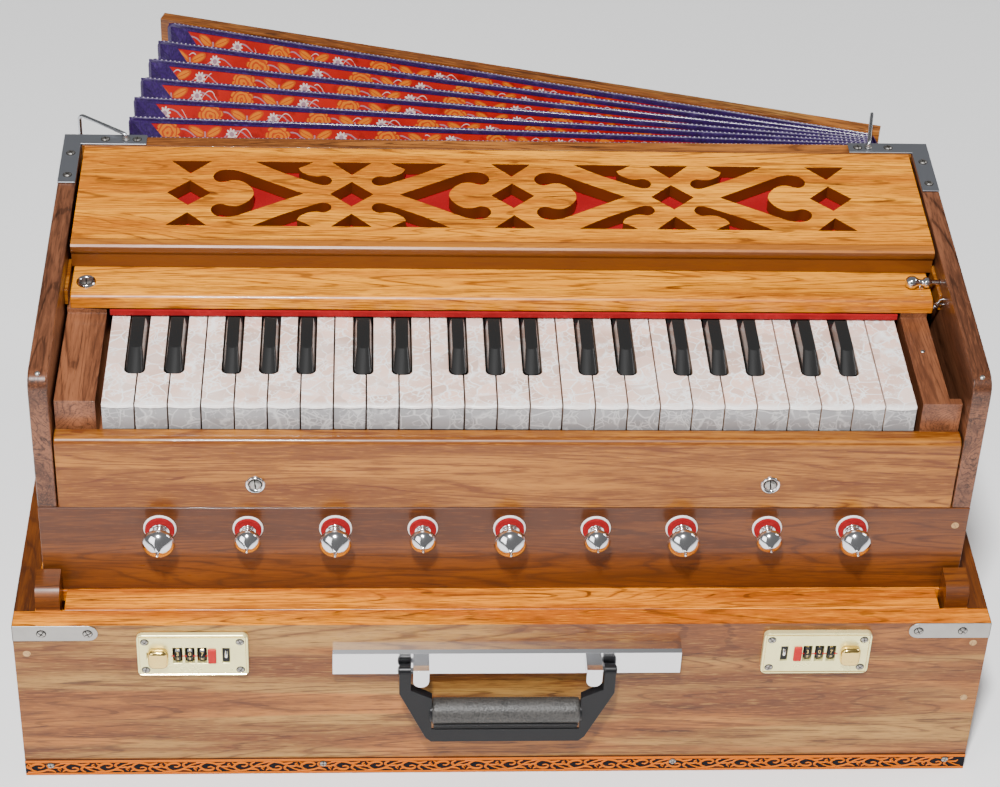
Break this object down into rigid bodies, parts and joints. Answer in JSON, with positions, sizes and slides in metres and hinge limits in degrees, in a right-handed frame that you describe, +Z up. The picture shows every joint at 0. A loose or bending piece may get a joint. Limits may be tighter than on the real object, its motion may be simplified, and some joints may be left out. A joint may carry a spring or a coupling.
{
  "type": "harmonium",
  "caption": "Indian suitcase harmonium of polished teak: piano keys, draw stops, pierced lid, fan bellows at the back, carrying handle and combination locks",
  "frame": {"origin": "Centre of the case's underside, on the surface that the instrument stands on.", "axes": "+X runs along the keyboard towards the treble, +Y points from the player to the bellows, +Z is up."},
  "size_m": [0.678, 0.5286, 0.347],
  "materials": {
    "teak": "polished reddish-brown teak",
    "golden_teak": "polished golden teak",
    "dark_teak": "polished dark teak",
    "chrome": "mirror plated",
    "gunmetal": "grey hammered finish",
    "brass": "pale brass, polished",
    "black_plastic": "moulded black",
    "grip_rubber": "ribbed dark grey",
    "pearl": "pearly celluloid",
    "ebony": "polished black",
    "red_cloth": "thin bright red cloth",
    "bellows_cloth": "orange-red cloth with a small floral print",
    "rib_card": "violet bookbinder's tape over card",
    "steel": "bright wire"
  },
  "bodies": {
    "instrument": {"case_walls": "teak", "case_bottom": "teak", "plinth_rail": "teak", "deck": "golden_teak", "handle_rail": "chrome", "lock_plate_left": "brass", "lock_plate_right": "brass", "wind_chest": "teak", "stop_board": "teak", "cheek_left": "dark_teak", "cheek_right": "dark_teak", "key_slip": "golden_teak", "key_bed": "teak", "key_strip": "golden_teak", "corner_bracket_left": "gunmetal", "corner_bracket_right": "gunmetal", "bellows_cloth": "bellows_cloth"},
    "carrying_handle": {"handle": "black_plastic", "handle_grip": "grip_rubber"},
    "reservoir": {"reservoir_board": "teak"},
    "lock_slide_left": {"lock_slide_left": "brass"},
    "lock_slide_right": {"lock_slide_right": "brass"},
    "lock_dials_left": {"lock_dials_left": "black_plastic"},
    "lock_dials_right": {"lock_dials_right": "black_plastic"},
    "lid": {"fretwork_lid": "golden_teak", "lid_cloth": "red_cloth"},
    "bellows_hook_left": {"bellows_hook_left": "steel"},
    "bellows_hook_right": {"bellows_hook_right": "steel"},
    "lock_pin": {"lock_pin": "chrome"},
    "pump_board": {"pump_board": "teak"},
    "bellows_rib_1": {"bellows_rib_1": "rib_card"},
    "bellows_rib_2": {"bellows_rib_2": "rib_card"},
    "bellows_rib_3": {"bellows_rib_3": "rib_card"},
    "bellows_rib_4": {"bellows_rib_4": "rib_card"},
    "bellows_rib_5": {"bellows_rib_5": "rib_card"},
    "stop_1": {"stop_1": "chrome"},
    "stop_2": {"stop_2": "chrome"},
    "stop_3": {"stop_3": "chrome"},
    "stop_4": {"stop_4": "chrome"},
    "stop_5": {"stop_5": "chrome"},
    "stop_6": {"stop_6": "chrome"},
    "stop_7": {"stop_7": "chrome"},
    "stop_8": {"stop_8": "chrome"},
    "stop_9": {"stop_9": "chrome"},
    "white_keys_low": {"white_keys_low": "pearl"},
    "black_keys_low": {"black_keys_low": "ebony"},
    "key_c": {"key_c": "pearl"},
    "key_c_sharp": {"key_c_sharp": "ebony"},
    "key_d": {"key_d": "pearl"},
    "key_d_sharp": {"key_d_sharp": "ebony"},
    "key_e": {"key_e": "pearl"},
    "key_f": {"key_f": "pearl"},
    "key_f_sharp": {"key_f_sharp": "ebony"},
    "key_g": {"key_g": "pearl"},
    "key_g_sharp": {"key_g_sharp": "ebony"},
    "key_a": {"key_a": "pearl"},
    "key_a_sharp": {"key_a_sharp": "ebony"},
    "key_b": {"key_b": "pearl"},
    "white_keys_high": {"white_keys_high": "pearl"},
    "black_keys_high": {"black_keys_high": "ebony"}
  },
  "joints": [
    {"name": "handle_hinge", "type": "hinge", "parent": "instrument", "child": "carrying_handle", "pos_m": [0, -0.203, 0.115], "axis": [-1, 0, 0], "range_deg": [0, 100]},
    {"name": "reservoir_hinge", "type": "hinge", "parent": "instrument", "child": "reservoir", "pos_m": [0, 0.1607, 0.12], "axis": [1, 0, 0], "range_deg": [0, 12], "stiffness_Nm_per_rad": 12, "springref_deg": -14.32},
    {"name": "lock_slide_left_travel", "type": "slide", "parent": "instrument", "child": "lock_slide_left", "axis": [-1, 0, 0], "range_m": [0, 0.005], "stiffness_N_per_m": 250, "springref_m": -0.004},
    {"name": "lock_dials_left_turn", "type": "hinge", "parent": "instrument", "child": "lock_dials_left", "pos_m": [-0.219, -0.1862, 0.119], "axis": [1, 0, 0], "continuous": true},
    {"name": "lock_slide_right_travel", "type": "slide", "parent": "instrument", "child": "lock_slide_right", "axis": [1, 0, 0], "range_m": [0, 0.005], "stiffness_N_per_m": 250, "springref_m": -0.004},
    {"name": "lock_dials_right_turn", "type": "hinge", "parent": "instrument", "child": "lock_dials_right", "pos_m": [0.219, -0.1862, 0.119], "axis": [1, 0, 0], "continuous": true},
    {"name": "lid_hinge", "type": "hinge", "parent": "instrument", "child": "lid", "pos_m": [0, 0.1126, 0.3395], "axis": [-1, 0, 0], "range_deg": [0, 95]},
    {"name": "bellows_hook_left_swing", "type": "hinge", "parent": "instrument", "child": "bellows_hook_left", "pos_m": [-0.275, 0.119, 0.3416], "axis": [0, 0, 1], "range_deg": [-48.6, 24]},
    {"name": "bellows_hook_right_swing", "type": "hinge", "parent": "instrument", "child": "bellows_hook_right", "pos_m": [0.275, 0.119, 0.3416], "axis": [0, 0, -1], "range_deg": [0, 65]},
    {"name": "lock_pin_travel", "type": "slide", "parent": "instrument", "child": "lock_pin", "axis": [-1, 0, 0], "range_m": [0, 0.02]},
    {"name": "pump_hinge", "type": "hinge", "parent": "instrument", "child": "pump_board", "pos_m": [0.283, 0.1502, 0.24], "axis": [0, 0, -1], "range_deg": [-15.84, 10], "deforming": ["bellows_cloth"]},
    {"name": "bellows_rib_1_hinge", "type": "hinge", "parent": "instrument", "child": "bellows_rib_1", "pos_m": [0.283, 0.1367, 0.24], "axis": [0, 0, -1], "range_deg": [-2.69, 1.72]},
    {"name": "bellows_rib_2_hinge", "type": "hinge", "parent": "instrument", "child": "bellows_rib_2", "pos_m": [0.283, 0.1394, 0.24], "axis": [0, 0, -1], "range_deg": [-5.33, 3.38]},
    {"name": "bellows_rib_3_hinge", "type": "hinge", "parent": "instrument", "child": "bellows_rib_3", "pos_m": [0.283, 0.1421, 0.24], "axis": [0, 0, -1], "range_deg": [-7.97, 5.05]},
    {"name": "bellows_rib_4_hinge", "type": "hinge", "parent": "instrument", "child": "bellows_rib_4", "pos_m": [0.283, 0.1448, 0.24], "axis": [0, 0, -1], "range_deg": [-10.61, 6.72]},
    {"name": "bellows_rib_5_hinge", "type": "hinge", "parent": "instrument", "child": "bellows_rib_5", "pos_m": [0.283, 0.1475, 0.24], "axis": [0, 0, -1], "range_deg": [-13.25, 8.38]},
    {"name": "stop_1_pull", "type": "slide", "parent": "instrument", "child": "stop_1", "axis": [0, -1, 0], "range_m": [0, 0.014]},
    {"name": "stop_2_pull", "type": "slide", "parent": "instrument", "child": "stop_2", "axis": [0, -1, 0], "range_m": [0, 0.014]},
    {"name": "stop_3_pull", "type": "slide", "parent": "instrument", "child": "stop_3", "axis": [0, -1, 0], "range_m": [0, 0.014]},
    {"name": "stop_4_pull", "type": "slide", "parent": "instrument", "child": "stop_4", "axis": [0, -1, 0], "range_m": [0, 0.014]},
    {"name": "stop_5_pull", "type": "slide", "parent": "instrument", "child": "stop_5", "axis": [0, -1, 0], "range_m": [0, 0.014]},
    {"name": "stop_6_pull", "type": "slide", "parent": "instrument", "child": "stop_6", "axis": [0, -1, 0], "range_m": [0, 0.014]},
    {"name": "stop_7_pull", "type": "slide", "parent": "instrument", "child": "stop_7", "axis": [0, -1, 0], "range_m": [0, 0.014]},
    {"name": "stop_8_pull", "type": "slide", "parent": "instrument", "child": "stop_8", "axis": [0, -1, 0], "range_m": [0, 0.014]},
    {"name": "stop_9_pull", "type": "slide", "parent": "instrument", "child": "stop_9", "axis": [0, -1, 0], "range_m": [0, 0.014]},
    {"name": "white_keys_low_pivot", "type": "hinge", "parent": "instrument", "child": "white_keys_low", "pos_m": [0, -0.0102, 0.2753], "axis": [1, 0, 0], "range_deg": [0, 3], "stiffness_Nm_per_rad": 4.2, "springref_deg": -3.44},
    {"name": "black_keys_low_pivot", "type": "hinge", "parent": "instrument", "child": "black_keys_low", "pos_m": [0, -0.0166, 0.2753], "axis": [1, 0, 0], "range_deg": [0, 3], "stiffness_Nm_per_rad": 3, "springref_deg": -3.44},
    {"name": "key_c_pivot", "type": "hinge", "parent": "instrument", "child": "key_c", "pos_m": [0, -0.0102, 0.2753], "axis": [1, 0, 0], "range_deg": [0, 3], "stiffness_Nm_per_rad": 0.6, "springref_deg": -3.44},
    {"name": "key_c_sharp_pivot", "type": "hinge", "parent": "instrument", "child": "key_c_sharp", "pos_m": [0, -0.0166, 0.2753], "axis": [1, 0, 0], "range_deg": [0, 3], "stiffness_Nm_per_rad": 0.6, "springref_deg": -3.44},
    {"name": "key_d_pivot", "type": "hinge", "parent": "instrument", "child": "key_d", "pos_m": [0, -0.0102, 0.2753], "axis": [1, 0, 0], "range_deg": [0, 3], "stiffness_Nm_per_rad": 0.6, "springref_deg": -3.44},
    {"name": "key_d_sharp_pivot", "type": "hinge", "parent": "instrument", "child": "key_d_sharp", "pos_m": [0, -0.0166, 0.2753], "axis": [1, 0, 0], "range_deg": [0, 3], "stiffness_Nm_per_rad": 0.6, "springref_deg": -3.44},
    {"name": "key_e_pivot", "type": "hinge", "parent": "instrument", "child": "key_e", "pos_m": [0, -0.0102, 0.2753], "axis": [1, 0, 0], "range_deg": [0, 3], "stiffness_Nm_per_rad": 0.6, "springref_deg": -3.44},
    {"name": "key_f_pivot", "type": "hinge", "parent": "instrument", "child": "key_f", "pos_m": [0, -0.0102, 0.2753], "axis": [1, 0, 0], "range_deg": [0, 3], "stiffness_Nm_per_rad": 0.6, "springref_deg": -3.44},
    {"name": "key_f_sharp_pivot", "type": "hinge", "parent": "instrument", "child": "key_f_sharp", "pos_m": [0, -0.0166, 0.2753], "axis": [1, 0, 0], "range_deg": [0, 3], "stiffness_Nm_per_rad": 0.6, "springref_deg": -3.44},
    {"name": "key_g_pivot", "type": "hinge", "parent": "instrument", "child": "key_g", "pos_m": [0, -0.0102, 0.2753], "axis": [1, 0, 0], "range_deg": [0, 3], "stiffness_Nm_per_rad": 0.6, "springref_deg": -3.44},
    {"name": "key_g_sharp_pivot", "type": "hinge", "parent": "instrument", "child": "key_g_sharp", "pos_m": [0, -0.0166, 0.2753], "axis": [1, 0, 0], "range_deg": [0, 3], "stiffness_Nm_per_rad": 0.6, "springref_deg": -3.44},
    {"name": "key_a_pivot", "type": "hinge", "parent": "instrument", "child": "key_a", "pos_m": [0, -0.0102, 0.2753], "axis": [1, 0, 0], "range_deg": [0, 3], "stiffness_Nm_per_rad": 0.6, "springref_deg": -3.44},
    {"name": "key_a_sharp_pivot", "type": "hinge", "parent": "instrument", "child": "key_a_sharp", "pos_m": [0, -0.0166, 0.2753], "axis": [1, 0, 0], "range_deg": [0, 3], "stiffness_Nm_per_rad": 0.6, "springref_deg": -3.44},
    {"name": "key_b_pivot", "type": "hinge", "parent": "instrument", "child": "key_b", "pos_m": [0, -0.0102, 0.2753], "axis": [1, 0, 0], "range_deg": [0, 3], "stiffness_Nm_per_rad": 0.6, "springref_deg": -3.44},
    {"name": "white_keys_high_pivot", "type": "hinge", "parent": "instrument", "child": "white_keys_high", "pos_m": [0, -0.0102, 0.2753], "axis": [1, 0, 0], "range_deg": [0, 3], "stiffness_Nm_per_rad": 6.6, "springref_deg": -3.44},
    {"name": "black_keys_high_pivot", "type": "hinge", "parent": "instrument", "child": "black_keys_high", "pos_m": [0, -0.0166, 0.2753], "axis": [1, 0, 0], "range_deg": [0, 3], "stiffness_Nm_per_rad": 4.2, "springref_deg": -3.44}
  ],
  "couplings": [
    {"joint": "bellows_rib_1_hinge", "follows": "pump_hinge", "ratio": 0.16667},
    {"joint": "bellows_rib_2_hinge", "follows": "pump_hinge", "ratio": 0.33333},
    {"joint": "bellows_rib_3_hinge", "follows": "pump_hinge", "ratio": 0.5},
    {"joint": "bellows_rib_4_hinge", "follows": "pump_hinge", "ratio": 0.66667},
    {"joint": "bellows_rib_5_hinge", "follows": "pump_hinge", "ratio": 0.83333}
  ]
}
